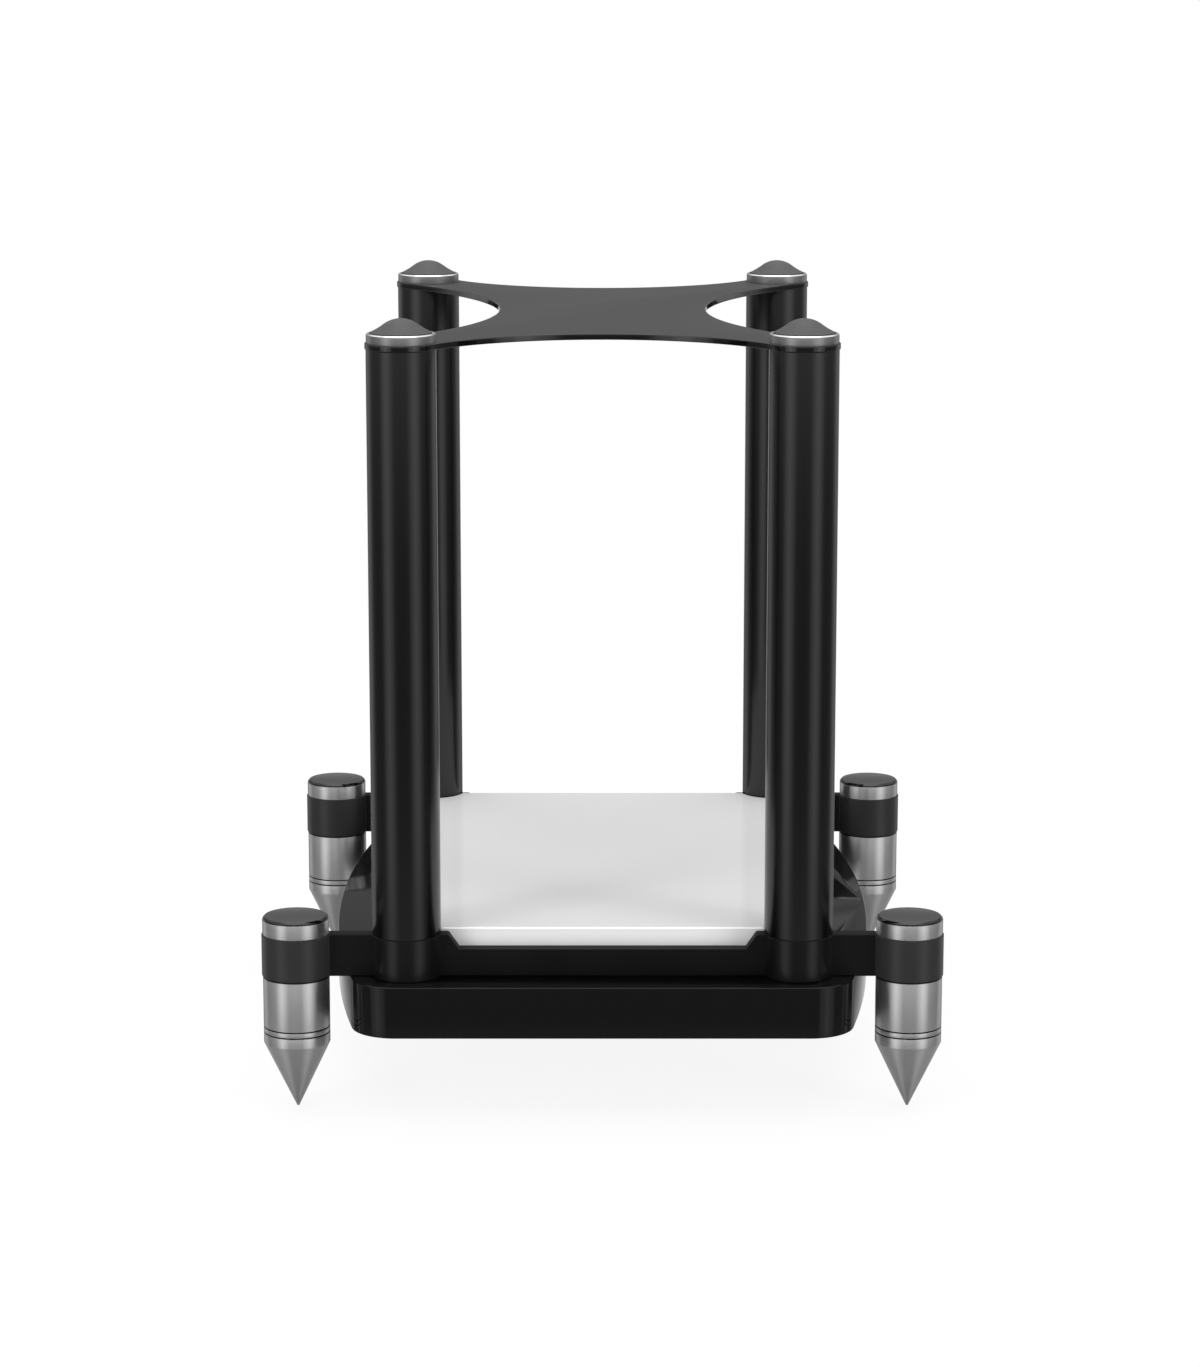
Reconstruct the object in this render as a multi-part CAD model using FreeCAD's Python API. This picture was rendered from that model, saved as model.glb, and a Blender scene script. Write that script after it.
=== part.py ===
"""Four-column speaker stand on adjustable spikes.

The frame is +Z up, X across the front, Y from front to back. The origin lies on the
floor, midway between the four spike tips. All sizes are in millimetres.
"""
import FreeCAD, Part
import math
import os

# ---------------------------------------------------------------- driving dimensions

# Plan of the stand
column_spacing_x = 254.0        # between column axes, across the front
column_spacing_y = 400.0        # between column axes, front to back
foot_spacing_x = 398.0          # between spike axes, across the front

# Spikes
cone_height = 44.0              # the tapered point of a spike
spike_body_length = 44.5        # the straight part above the point
spike_diameter = 43.2
tip_diameter = 1.4              # the small flat that meets the floor
groove_width = 0.9
groove_depth = 0.8
lower_groove_rise = 6.4         # from the cone's base to the lower groove's lower edge
groove_pitch = 3.8              # from one groove to the next

# Studs, bushes and lock rings of the feet
stud_diameter = 10.0
stud_seat_depth = 26.0          # how deep the stud goes into the spike
stud_end_clearance = 0.5        # over the stud's top
bush_diameter = 16.0
bush_length = 24.0
lock_ring_height = 9.5
disc_thickness = 2.2
disc_chamfer = 1.3
spigot_diameter = 26.0
spigot_depth = 1.8

# Bars
bar_height = 28.0
bar_thickness = 10.0
boss_diameter = 44.5            # the round bosses under the columns and over the feet
recess_boss_gap = 4.75          # from a column's boss to the dip in the bar's top edge
recess_slope_width = 7.0        # how far each sloping end of the dip runs along the bar
recess_depth = 10.0

# Columns
column_diameter = 44.5
column_wall = 3.5
column_length = 379.5
plug_length = 25.0

# Top plate
plate_thickness = 4.0
plate_disc_diameter = 46.0      # the round ends over the columns
plate_waist_x = 140.0           # the narrowest width, midway between front and back
plate_waist_y = 300.0           # the narrowest depth, midway between the sides
plate_edge_bevel = 0.6

# Pads on top
cup_diameter = 44.0
cup_height = 6.0
cup_floor = 3.0
cup_bevel = 0.8
pad_diameter = 39.4
pad_rim_height = 0.3            # the upright edge that shows above the cup
pad_height = 9.2                # from the cup's rim to the crown
pad_crown_radius = 18.0
pad_crown_angle = 37.0          # where the crown turns into the flare, in degrees

# Plinth
plinth_overhang = 33.0          # from the columns' axes out to the front and rear edges
plinth_width = 365.0            # at its widest, midway between front and back
plinth_end_width = 316.0        # of the front and rear edges, before the corners are rounded
plinth_thickness = 34.0
plinth_corner_radius = 30.0
plinth_edge_bevel = 1.2

# Insert slab
slab_side_inset = 1.0           # from the columns' axes in to the slab's side edges
slab_thickness = 30.0
slab_bevel = 1.0

# Fasteners
screw_diameter = 6.0            # through the top plate
screw_head_diameter = 12.0
screw_length = 28.0
screw_socket_width = 4.0
screw_socket_depth = 1.8
bolt_diameter = 8.0             # up through the plinth
bolt_head_diameter = 13.0
bolt_head_height = 8.0
bolt_length = 80.0              # under the head
bolt_socket_width = 6.0
bolt_socket_depth = 4.0
washer_diameter = 16.0
washer_thickness = 1.6
counterbore_diameter = 18.0
counterbore_depth = 12.0

# Clearances, on the radius where they are round
thread_play = 0.05              # a plain stud or screw in its plain threaded hole
hole_play = 0.5                 # a fastener in a plain through hole
pad_play = 0.3                  # a rubber pad in its cup
spigot_play = 0.1               # a disc's spigot in its ring
slab_play = 0.5                 # the slab from the bars and the round bosses
end_bevel = 0.5                 # broken edges of turned pieces
bar_bevel = 0.6                 # broken edges of the bars

# ---------------------------------------------------------------- heights and places

spike_top = cone_height + spike_body_length
bar_bottom = spike_top
bar_top = bar_bottom + bar_height
plate_bottom = bar_top + column_length
plate_top = plate_bottom + plate_thickness
cup_top = plate_top + cup_height
plinth_bottom = bar_bottom - plinth_thickness
stud_bottom = spike_top - stud_seat_depth
lock_ring_top = bar_top + lock_ring_height
spigot_bottom = lock_ring_top - spigot_depth
stud_top = spigot_bottom - stud_end_clearance
screw_head_top = plate_top + cup_floor
bolt_seat = plinth_bottom + counterbore_depth
bolt_head_top = bolt_seat - washer_thickness

spike_radius = spike_diameter / 2
stud_radius = stud_diameter / 2
boss_radius = boss_diameter / 2
column_radius = column_diameter / 2
column_bore_radius = column_radius - column_wall

column_x = column_spacing_x / 2
column_y = column_spacing_y / 2
foot_x = foot_spacing_x / 2

CORNERS = {
    "front_left": (-1, -1),
    "front_right": (1, -1),
    "rear_left": (-1, 1),
    "rear_right": (1, 1),
}
UP = FreeCAD.Vector(0, 0, 1)


def column_axes():
    """Name and place of each column's axis."""
    return {name: (sx * column_x, sy * column_y) for name, (sx, sy) in CORNERS.items()}


def foot_axes():
    """Name and place of each spike's axis, in line with the columns of its bar."""
    return {name: (sx * foot_x, sy * column_y) for name, (sx, sy) in CORNERS.items()}


# ---------------------------------------------------------------- building helpers

def moved(shape, place, z=0.0):
    """A copy of the shape, carried to a place in plan and up by z."""
    copy = shape.copy()
    copy.translate(FreeCAD.Vector(place[0], place[1], z))
    return copy


def at_each(shape, axes):
    """One copy of the shape on each axis, as separate solids in one group."""
    return Part.makeCompound([moved(shape, place) for place in axes.values()])


def cylinder(radius, bottom, top):
    """A round bar on the Z axis between two heights."""
    return Part.makeCylinder(radius, top - bottom, FreeCAD.Vector(0, 0, bottom))


def line(start, end):
    """A straight edge of a turned profile, from (radius, height) to (radius, height)."""
    return Part.LineSegment(FreeCAD.Vector(start[0], 0, start[1]), FreeCAD.Vector(end[0], 0, end[1])).toShape()


def arc(start, middle, end):
    """An arc of a turned profile through three (radius, height) points."""
    points = [FreeCAD.Vector(r, 0, z) for r, z in (start, middle, end)]
    return Part.Arc(*points).toShape()


def turned(edges):
    """A solid of revolution about Z from a closed profile."""
    face = Part.Face(Part.Wire(edges))
    return face.revolve(FreeCAD.Vector(0, 0, 0), UP, 360)


def turned_outline(points):
    """A solid of revolution about Z from a closed profile of straight edges."""
    ends = points[1:] + points[:1]
    return turned([line(a, b) for a, b in zip(points, ends)])


def bevelled_cylinder(radius, bottom, top, bevel):
    """A round bar on the Z axis with both end edges broken."""
    return turned_outline([
        (0, bottom),
        (radius - bevel, bottom),
        (radius, bottom + bevel),
        (radius, top - bevel),
        (radius - bevel, top),
        (0, top),
    ])


def hexagon_socket(width, depth, mouth, outward):
    """A six-sided recess whose mouth lies at a height and opens along +Z (1) or -Z (-1)."""
    reach = width / math.sqrt(3)
    corners = [math.radians(60 * i) for i in range(7)]
    points = [FreeCAD.Vector(reach * math.cos(a), reach * math.sin(a), mouth) for a in corners]
    return Part.Face(Part.makePolygon(points)).extrude(UP * (-outward * depth))


def flat_edges(shape, height):
    """The edges of a shape that lie wholly at one height."""
    box_of = [(edge, edge.BoundBox) for edge in shape.Edges]
    return [e for e, b in box_of if abs(b.ZMin - height) < 1e-4 and abs(b.ZMax - height) < 1e-4]


# ---------------------------------------------------------------- feet

def make_spike():
    """A spike: pointed cone, straight body with two grooves, and a blind hole for its stud."""
    groove_starts = [cone_height + lower_groove_rise + i * groove_pitch for i in range(2)]
    profile = [(0, 0), (tip_diameter / 2, 0), (spike_radius, cone_height)]
    for start in groove_starts:
        profile.append((spike_radius, start))
        profile.append((spike_radius - groove_depth, start))
        profile.append((spike_radius - groove_depth, start + groove_width))
        profile.append((spike_radius, start + groove_width))
    profile.append((spike_radius, spike_top - end_bevel))
    profile.append((spike_radius - end_bevel, spike_top))
    profile.append((0, spike_top))
    hole = cylinder(stud_radius + thread_play, stud_bottom, spike_top)
    return turned_outline(profile).cut(hole)


def make_stud():
    """A stud that joins a spike to the bush in its bar and carries the lock ring."""
    return bevelled_cylinder(stud_radius, stud_bottom, stud_top, end_bevel)


def make_foot_bush():
    """A threaded bush, flush with the underside of a foot boss."""
    body = cylinder(bush_diameter / 2, bar_bottom, bar_bottom + bush_length)
    return body.cut(cylinder(stud_radius + thread_play, bar_bottom, bar_bottom + bush_length))


def make_lock_ring():
    """A ring nut on top of a foot boss, with a shallow recess for the disc that caps it."""
    body = bevelled_cylinder(spike_radius, bar_top, lock_ring_top, end_bevel)
    thread = cylinder(stud_radius + thread_play, bar_top, lock_ring_top)
    recess = cylinder(spigot_diameter / 2, spigot_bottom, lock_ring_top)
    return body.cut(thread).cut(recess)


def make_cap_disc():
    """The disc that caps a lock ring, with a broad bevel and a spigot underneath."""
    spigot_radius = spigot_diameter / 2 - spigot_play
    disc_top = lock_ring_top + disc_thickness
    disc_radius = spike_radius - end_bevel / 2
    return turned_outline([
        (0, spigot_bottom),
        (spigot_radius, spigot_bottom),
        (spigot_radius, lock_ring_top),
        (disc_radius, lock_ring_top),
        (disc_radius, disc_top - disc_chamfer),
        (disc_radius - disc_chamfer, disc_top),
        (0, disc_top),
    ])


# ---------------------------------------------------------------- bars

def bar_profile():
    """The front view of a bar, with the dip in its top edge, as a face in the XZ plane."""
    brink_x = column_x - boss_radius - recess_boss_gap
    floor_x = brink_x - recess_slope_width
    outline = [
        (-foot_x, bar_bottom),
        (foot_x, bar_bottom),
        (foot_x, bar_top),
        (brink_x, bar_top),
        (floor_x, bar_top - recess_depth),
        (-floor_x, bar_top - recess_depth),
        (-brink_x, bar_top),
        (-foot_x, bar_top),
        (-foot_x, bar_bottom),
    ]
    points = [FreeCAD.Vector(x, -bar_thickness / 2, z) for x, z in outline]
    return Part.Face(Part.makePolygon(points))


def make_bar():
    """A bar on the X axis, with a round boss under each column and over each foot."""
    bar = bar_profile().extrude(FreeCAD.Vector(0, bar_thickness, 0))
    boss = cylinder(boss_radius, bar_bottom, bar_top)
    for x in (-foot_x, -column_x, column_x, foot_x):
        bar = bar.fuse(moved(boss, (x, 0)))
    bar = bar.removeSplitter()
    bar = bar.makeChamfer(bar_bevel, flat_edges(bar, bar_top) + flat_edges(bar, bar_bottom))
    bolt_hole = cylinder(bolt_diameter / 2 + hole_play, bar_bottom, bar_top)
    bush_hole = cylinder(bush_diameter / 2, bar_bottom, bar_bottom + bush_length)
    stud_hole = cylinder(stud_radius + hole_play, bar_bottom, bar_top)
    for side in (-1, 1):
        bar = bar.cut(moved(bolt_hole, (side * column_x, 0)))
        bar = bar.cut(moved(bush_hole.fuse(stud_hole), (side * foot_x, 0)))
    return bar


# ---------------------------------------------------------------- columns

def make_column():
    """An open tube that stands on a boss and carries the top plate."""
    inner = column_bore_radius
    outer = column_radius
    return turned_outline([
        (inner, bar_top),
        (outer - end_bevel, bar_top),
        (outer, bar_top + end_bevel),
        (outer, plate_bottom - end_bevel),
        (outer - end_bevel, plate_bottom),
        (inner, plate_bottom),
    ])


def make_column_plug(bottom, top, fastener_diameter):
    """A pressed-in plug with a threaded hole, at one end of a column."""
    body = cylinder(column_bore_radius, bottom, top)
    return body.cut(cylinder(fastener_diameter / 2 + thread_play, bottom, top))


# ---------------------------------------------------------------- top plate

def waist_radius(along, across, waist):
    """The radius of a plate edge that bows in to the waist and runs smoothly into the end discs.

    The end disc's centre lies `along` the direction of the waist and `across` it.
    """
    end = plate_disc_diameter / 2
    return (across ** 2 + (along - waist) ** 2 - end ** 2) / (2 * (end + along - waist))


def towards(start, goal, distance):
    """The point at a distance from one point towards another."""
    step = goal - start
    return start + step * (distance / step.Length)


def plate_outline():
    """The closed outline of the plate: four discs joined by four hollow arcs."""
    end = plate_disc_diameter / 2
    half_x = plate_waist_x / 2
    half_y = plate_waist_y / 2
    bow_y = half_y + waist_radius(column_y, column_x, half_y)
    bow_x = half_x + waist_radius(column_x, column_y, half_x)
    # each quarter: an arc on the front or back edge, the disc, and half of a side arc
    sides = [
        ((0, -bow_y), (0, -half_y)),
        ((bow_x, 0), (half_x, 0)),
        ((0, bow_y), (0, half_y)),
        ((-bow_x, 0), (-half_x, 0)),
    ]
    discs = [(-1, -1), (1, -1), (1, 1), (-1, 1)]
    edges = []
    for i, (centre, waist) in enumerate(sides):
        bow_centre = FreeCAD.Vector(*centre, plate_bottom)
        next_centre = FreeCAD.Vector(*sides[(i + 1) % 4][0], plate_bottom)
        first = FreeCAD.Vector(discs[i][0] * column_x, discs[i][1] * column_y, plate_bottom)
        last_sign = discs[(i + 1) % 4]
        last = FreeCAD.Vector(last_sign[0] * column_x, last_sign[1] * column_y, plate_bottom)
        start = towards(first, bow_centre, end)
        stop = towards(last, bow_centre, end)
        leave = towards(last, next_centre, end)
        outermost = towards(last, (stop + leave) * 0.5, -end)
        edges.append(Part.Arc(start, FreeCAD.Vector(*waist, plate_bottom), stop).toShape())
        edges.append(Part.Arc(stop, outermost, leave).toShape())
    return Part.Wire(edges)


def make_top_plate():
    """The X-shaped plate over the columns, its edges broken, with a hole over each column."""
    plate = Part.Face(plate_outline()).extrude(UP * plate_thickness)
    rims = flat_edges(plate, plate_bottom) + flat_edges(plate, plate_top)
    plate = plate.makeChamfer(plate_edge_bevel, rims)
    hole = cylinder(screw_diameter / 2 + hole_play, plate_bottom, plate_top)
    for place in column_axes().values():
        plate = plate.cut(moved(hole, place))
    return plate


# ---------------------------------------------------------------- pads

def screw_head_height():
    """The height of a right-angled countersunk head."""
    return (screw_head_diameter - screw_diameter) / 2


def make_pad_cup():
    """A metal cup that clamps the plate and holds a rubber pad."""
    outer = cup_diameter / 2
    inner = pad_diameter / 2 + pad_play
    floor_top = plate_top + cup_floor
    cup = turned_outline([
        (0, plate_top),
        (outer, plate_top),
        (outer, cup_top - cup_bevel),
        (outer - cup_bevel, cup_top),
        (inner, cup_top),
        (inner, floor_top),
        (0, floor_top),
    ])
    hole = cylinder(screw_diameter / 2 + hole_play, plate_top, floor_top)
    sink_bottom = floor_top - screw_head_height()
    sink = Part.makeCone(
        screw_diameter / 2,
        screw_head_diameter / 2,
        screw_head_height(),
        FreeCAD.Vector(0, 0, sink_bottom),
    )
    return cup.cut(hole).cut(sink)


def make_rubber_pad():
    """A bell-shaped rubber pad: a round crown that flares out to an upright rim."""
    rim = pad_diameter / 2
    rim_top = cup_top + pad_rim_height
    apex = cup_top + pad_height
    crown_centre = apex - pad_crown_radius
    angle = math.radians(pad_crown_angle)

    def on_crown(a):
        return (pad_crown_radius * math.sin(a), crown_centre + pad_crown_radius * math.cos(a))

    turn = on_crown(angle)
    # the flare leaves the crown along its tangent and ends on the rim
    run = rim - turn[0]
    drop = turn[1] - rim_top
    chord_angle = math.atan2(drop, run)
    bend = angle - chord_angle
    chord = math.hypot(run, drop)
    sagitta = chord / 2 * math.tan(bend / 2)
    middle = (
        (turn[0] + rim) / 2 - sagitta * math.sin(chord_angle),
        (turn[1] + rim_top) / 2 - sagitta * math.cos(chord_angle),
    )
    floor_top = plate_top + cup_floor
    return turned([
        line((0, floor_top), (rim, floor_top)),
        line((rim, floor_top), (rim, rim_top)),
        arc((rim, rim_top), middle, turn),
        arc(turn, on_crown(angle / 2), (0, apex)),
        line((0, apex), (0, floor_top)),
    ])


# ---------------------------------------------------------------- plinth and slab

def make_plinth():
    """The plinth: straight front and back, sides that bow out, and counterbored bolt holes."""
    half_y = column_y + plinth_overhang
    end_x = plinth_end_width / 2
    corners = [
        FreeCAD.Vector(sx * end_x, sy * half_y, plinth_bottom)
        for sx, sy in ((-1, -1), (1, -1), (1, 1), (-1, 1))
    ]
    edges = [
        Part.LineSegment(corners[0], corners[1]).toShape(),
        Part.Arc(corners[1], FreeCAD.Vector(plinth_width / 2, 0, plinth_bottom), corners[2]).toShape(),
        Part.LineSegment(corners[2], corners[3]).toShape(),
        Part.Arc(corners[3], FreeCAD.Vector(-plinth_width / 2, 0, plinth_bottom), corners[0]).toShape(),
    ]
    plinth = Part.Face(Part.Wire(edges)).extrude(UP * plinth_thickness)
    upright = [e for e in plinth.Edges if e.BoundBox.ZLength > plinth_thickness / 2]
    plinth = plinth.makeFillet(plinth_corner_radius, upright)
    rims = flat_edges(plinth, plinth_bottom) + flat_edges(plinth, bar_bottom)
    plinth = plinth.makeChamfer(plinth_edge_bevel, rims)
    bolt_hole = cylinder(bolt_diameter / 2 + hole_play, plinth_bottom, bar_bottom)
    counterbore = cylinder(counterbore_diameter / 2, plinth_bottom, bolt_seat)
    for place in column_axes().values():
        plinth = plinth.cut(moved(bolt_hole.fuse(counterbore), place))
    return plinth


def make_insert_slab():
    """The slab between the bars, its corners cut round the bosses and its edges bevelled."""
    half_x = column_x - slab_side_inset
    half_y = column_y - bar_thickness / 2 - slab_play
    corner = FreeCAD.Vector(-half_x, -half_y, bar_bottom)
    slab = Part.makeBox(2 * half_x, 2 * half_y, slab_thickness, corner)
    room = cylinder(max(boss_radius, column_radius) + slab_play, bar_bottom, bar_bottom + slab_thickness)
    for place in column_axes().values():
        slab = slab.cut(moved(room, place))
    return slab.makeChamfer(slab_bevel, flat_edges(slab, bar_bottom + slab_thickness))


# ---------------------------------------------------------------- fasteners

def make_plate_screw():
    """A countersunk screw through a cup and the plate into a column's top plug."""
    head_bottom = screw_head_top - screw_head_height()
    screw = turned_outline([
        (0, screw_head_top - screw_length),
        (screw_diameter / 2 - end_bevel, screw_head_top - screw_length),
        (screw_diameter / 2, screw_head_top - screw_length + end_bevel),
        (screw_diameter / 2, head_bottom),
        (screw_head_diameter / 2, screw_head_top),
        (0, screw_head_top),
    ])
    return screw.cut(hexagon_socket(screw_socket_width, screw_socket_depth, screw_head_top, 1))


def make_plinth_bolt():
    """A socket-head bolt up through the plinth and a bar's boss into a column's bottom plug."""
    head_bottom = bolt_head_top - bolt_head_height
    head = bevelled_cylinder(bolt_head_diameter / 2, head_bottom, bolt_head_top, end_bevel)
    shank = bevelled_cylinder(bolt_diameter / 2, head_bottom + bolt_head_height / 2,
                              bolt_head_top + bolt_length, end_bevel)
    socket = hexagon_socket(bolt_socket_width, bolt_socket_depth, head_bottom, -1)
    return head.fuse(shank).removeSplitter().cut(socket)


def make_bolt_washer():
    """A washer between a bolt's head and the floor of its counterbore."""
    ring = cylinder(washer_diameter / 2, bolt_head_top, bolt_seat)
    return ring.cut(cylinder(bolt_diameter / 2 + hole_play, bolt_head_top, bolt_seat))


# ---------------------------------------------------------------- assembly

def build_parts():
    """Every node of the stand, by name."""
    columns = column_axes()
    feet = foot_axes()
    bar = make_bar()
    top_plug = make_column_plug(plate_bottom - plug_length, plate_bottom, screw_diameter)
    bottom_plug = make_column_plug(bar_top, bar_top + plug_length, bolt_diameter)
    parts = {
        "top_plate": make_top_plate(),
        "front_bar": moved(bar, (0, -column_y)),
        "rear_bar": moved(bar, (0, column_y)),
        "plinth": make_plinth(),
        "insert_slab": make_insert_slab(),
        "column_top_plugs": at_each(top_plug, columns),
        "column_bottom_plugs": at_each(bottom_plug, columns),
        "plate_screws": at_each(make_plate_screw(), columns),
        "plinth_bolts": at_each(make_plinth_bolt(), columns),
        "bolt_washers": at_each(make_bolt_washer(), columns),
        "foot_bushes": at_each(make_foot_bush(), feet),
    }
    on_each_column = {"column": make_column(), "pad_cup": make_pad_cup(), "rubber_pad": make_rubber_pad()}
    on_each_foot = {
        "spike": make_spike(),
        "stud": make_stud(),
        "lock_ring": make_lock_ring(),
        "cap_disc": make_cap_disc(),
    }
    for pieces, axes in ((on_each_column, columns), (on_each_foot, feet)):
        for name, shape in pieces.items():
            for corner, place in axes.items():
                parts[name + "_" + corner] = moved(shape, place)
    return parts


def main():
    """Write each node to its own file and print its volume."""
    os.makedirs("parts", exist_ok=True)
    for name, shape in sorted(build_parts().items()):
        if not shape.isValid():
            raise ValueError(name + " is not a valid shape")
        shape.exportStep("parts/" + name + ".step")
        print("%-26s %d solid(s) %10.1f mm3" % (name, len(shape.Solids), shape.Volume))


main()
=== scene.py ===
"""Dresses a four-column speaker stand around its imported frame, and sets its stage.

Everything is in metres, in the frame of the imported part: +Z up, the front towards -Y.
"""

import math

import bmesh
import bpy
from mathutils import Matrix, Vector


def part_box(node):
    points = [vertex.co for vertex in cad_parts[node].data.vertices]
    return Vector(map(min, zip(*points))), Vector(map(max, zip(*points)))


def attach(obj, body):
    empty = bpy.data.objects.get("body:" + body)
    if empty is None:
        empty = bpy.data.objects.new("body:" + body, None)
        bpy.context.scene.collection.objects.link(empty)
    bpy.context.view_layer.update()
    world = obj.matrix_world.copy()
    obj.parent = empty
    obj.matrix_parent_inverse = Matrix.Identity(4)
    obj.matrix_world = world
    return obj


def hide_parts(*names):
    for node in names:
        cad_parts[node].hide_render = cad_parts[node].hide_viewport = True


bl_info = {
    "name": "Speaker stand",
    "version": (1, 0, 0),
    "blender": (4, 5, 0),
    "location": "View3D > Sidebar > Stand",
    "description": "Dresses a four-column speaker stand and sets its stage",
    "category": "Object",
}

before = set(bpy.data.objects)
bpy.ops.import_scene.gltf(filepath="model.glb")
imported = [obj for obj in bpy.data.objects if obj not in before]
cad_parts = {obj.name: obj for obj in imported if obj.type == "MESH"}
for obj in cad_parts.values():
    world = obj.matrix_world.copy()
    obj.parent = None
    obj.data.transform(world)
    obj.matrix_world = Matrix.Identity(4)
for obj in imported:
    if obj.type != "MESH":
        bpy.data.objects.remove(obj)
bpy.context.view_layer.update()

MM = 0.001
MERGE = 0.001 * MM  # points nearer than this are one
SMOOTH_TURN = math.radians(28)  # an edge that turns less is shaded smooth
LEVEL = 0.999  # upward share of the normal, over which a face is level
CORNERS = ("front_left", "front_right", "rear_left", "rear_right")

THREAD_PLAY = 0.05 * MM  # a stud in the plain holes of spike and ring
PAD_PLAY = 0.3 * MM  # a rubber pad in its cup
SPIGOT_PLAY = 0.1 * MM  # a disc's spigot in its ring
BOSS_REACH = 22.4 * MM  # from a foot's axis to just outside the bar's boss


# ---------------------------------------------------------------- places read from the frame

def span(node):
    """Lowest and highest corner of a node of the frame."""
    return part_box(node)


def axis_of(node):
    """Where a round node's upright axis stands, seen from above."""
    low, high = span(node)
    return Vector(((low.x + high.x) / 2, (low.y + high.y) / 2, 0))


def radius_of(node):
    """Half the width of a round node."""
    low, high = span(node)
    return (high.x - low.x) / 2


COLUMN_AXIS = axis_of("column_rear_right")
FOOT_AXIS = axis_of("spike_rear_right")


# ---------------------------------------------------------------- what a user may change

class StandSizes(bpy.types.PropertyGroup):
    """Sizes of the shapes that the frame's boxes don't give."""

    round_steps: bpy.props.IntProperty(
        name="Round steps", description="Faces round a turned piece", default=144, min=24)
    edge_softness: bpy.props.FloatProperty(
        name="Edge softness", description="Rounding of the turned pieces' edges",
        default=0.25 * MM, min=0, unit="LENGTH")
    cone_height: bpy.props.FloatProperty(
        name="Cone height", description="Height of a spike's tapered point",
        default=44 * MM, min=0, unit="LENGTH")
    tip_width: bpy.props.FloatProperty(
        name="Tip width", description="Width of the small flat that meets the floor",
        default=1.4 * MM, min=0, unit="LENGTH")
    groove_rise: bpy.props.FloatProperty(
        name="Groove rise", description="From the cone's base to the lower groove",
        default=6.4 * MM, min=0, unit="LENGTH")
    groove_pitch: bpy.props.FloatProperty(
        name="Groove pitch", description="From one groove to the next",
        default=3.8 * MM, min=0, unit="LENGTH")
    groove_width: bpy.props.FloatProperty(
        name="Groove width", description="Width of a groove round a spike",
        default=0.9 * MM, min=0, unit="LENGTH")
    groove_depth: bpy.props.FloatProperty(
        name="Groove depth", description="Depth of a groove round a spike",
        default=0.8 * MM, min=0, unit="LENGTH")
    disc_bevel: bpy.props.FloatProperty(
        name="Disc bevel", description="Bevel of the discs on the feet",
        default=1.3 * MM, min=0, unit="LENGTH")
    spigot_width: bpy.props.FloatProperty(
        name="Spigot width", description="Diameter of the spigot under a disc",
        default=26 * MM, min=0, unit="LENGTH")
    thread_pitch: bpy.props.FloatProperty(
        name="Thread pitch", description="Rise of a stud's thread in one turn",
        default=1.5 * MM, min=0, unit="LENGTH")
    thread_depth: bpy.props.FloatProperty(
        name="Thread depth", description="Depth of a stud's thread",
        default=0.75 * MM, min=0, unit="LENGTH")
    column_wall: bpy.props.FloatProperty(
        name="Column wall", description="Wall of the column tubes",
        default=3.5 * MM, min=0, unit="LENGTH")
    cup_floor: bpy.props.FloatProperty(
        name="Cup floor", description="Thickness of a cup's floor",
        default=3 * MM, min=0, unit="LENGTH")
    cup_bevel: bpy.props.FloatProperty(
        name="Cup bevel", description="Bevel of a cup's rim",
        default=0.8 * MM, min=0, unit="LENGTH")
    crown_radius: bpy.props.FloatProperty(
        name="Crown radius", description="Radius of a rubber pad's crown",
        default=18 * MM, min=0, unit="LENGTH")
    crown_angle: bpy.props.FloatProperty(
        name="Crown angle", description="Where a pad's crown turns into its flare",
        default=math.radians(37), subtype="ANGLE")
    pad_rim_height: bpy.props.FloatProperty(
        name="Pad rim", description="Upright edge of a pad above its cup",
        default=0.3 * MM, min=0, unit="LENGTH")
    plate_waist_width: bpy.props.FloatProperty(
        name="Plate waist width", description="Narrowest width of the top plate",
        default=140 * MM, min=0, unit="LENGTH")
    plate_waist_depth: bpy.props.FloatProperty(
        name="Plate waist depth", description="Narrowest depth of the top plate",
        default=300 * MM, min=0, unit="LENGTH")
    plate_edge: bpy.props.FloatProperty(
        name="Plate edge", description="Rounding of the top plate's edges",
        default=0.6 * MM, min=0, unit="LENGTH")
    plinth_end_width: bpy.props.FloatProperty(
        name="Plinth end width", description="Width of the plinth's front, before its corners",
        default=316 * MM, min=0, unit="LENGTH")
    plinth_corner: bpy.props.FloatProperty(
        name="Plinth corner", description="Radius of the plinth's corners",
        default=30 * MM, min=0, unit="LENGTH")
    plinth_edge: bpy.props.FloatProperty(
        name="Plinth edge", description="Rounding of the plinth's edges",
        default=0.8 * MM, min=0, unit="LENGTH")
    counterbore: bpy.props.FloatProperty(
        name="Counterbore", description="Diameter of the bolt wells under the plinth",
        default=18 * MM, min=0, unit="LENGTH")
    bolt_hole: bpy.props.FloatProperty(
        name="Bolt hole", description="Diameter of the bolt holes through the plinth",
        default=9 * MM, min=0, unit="LENGTH")


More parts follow.
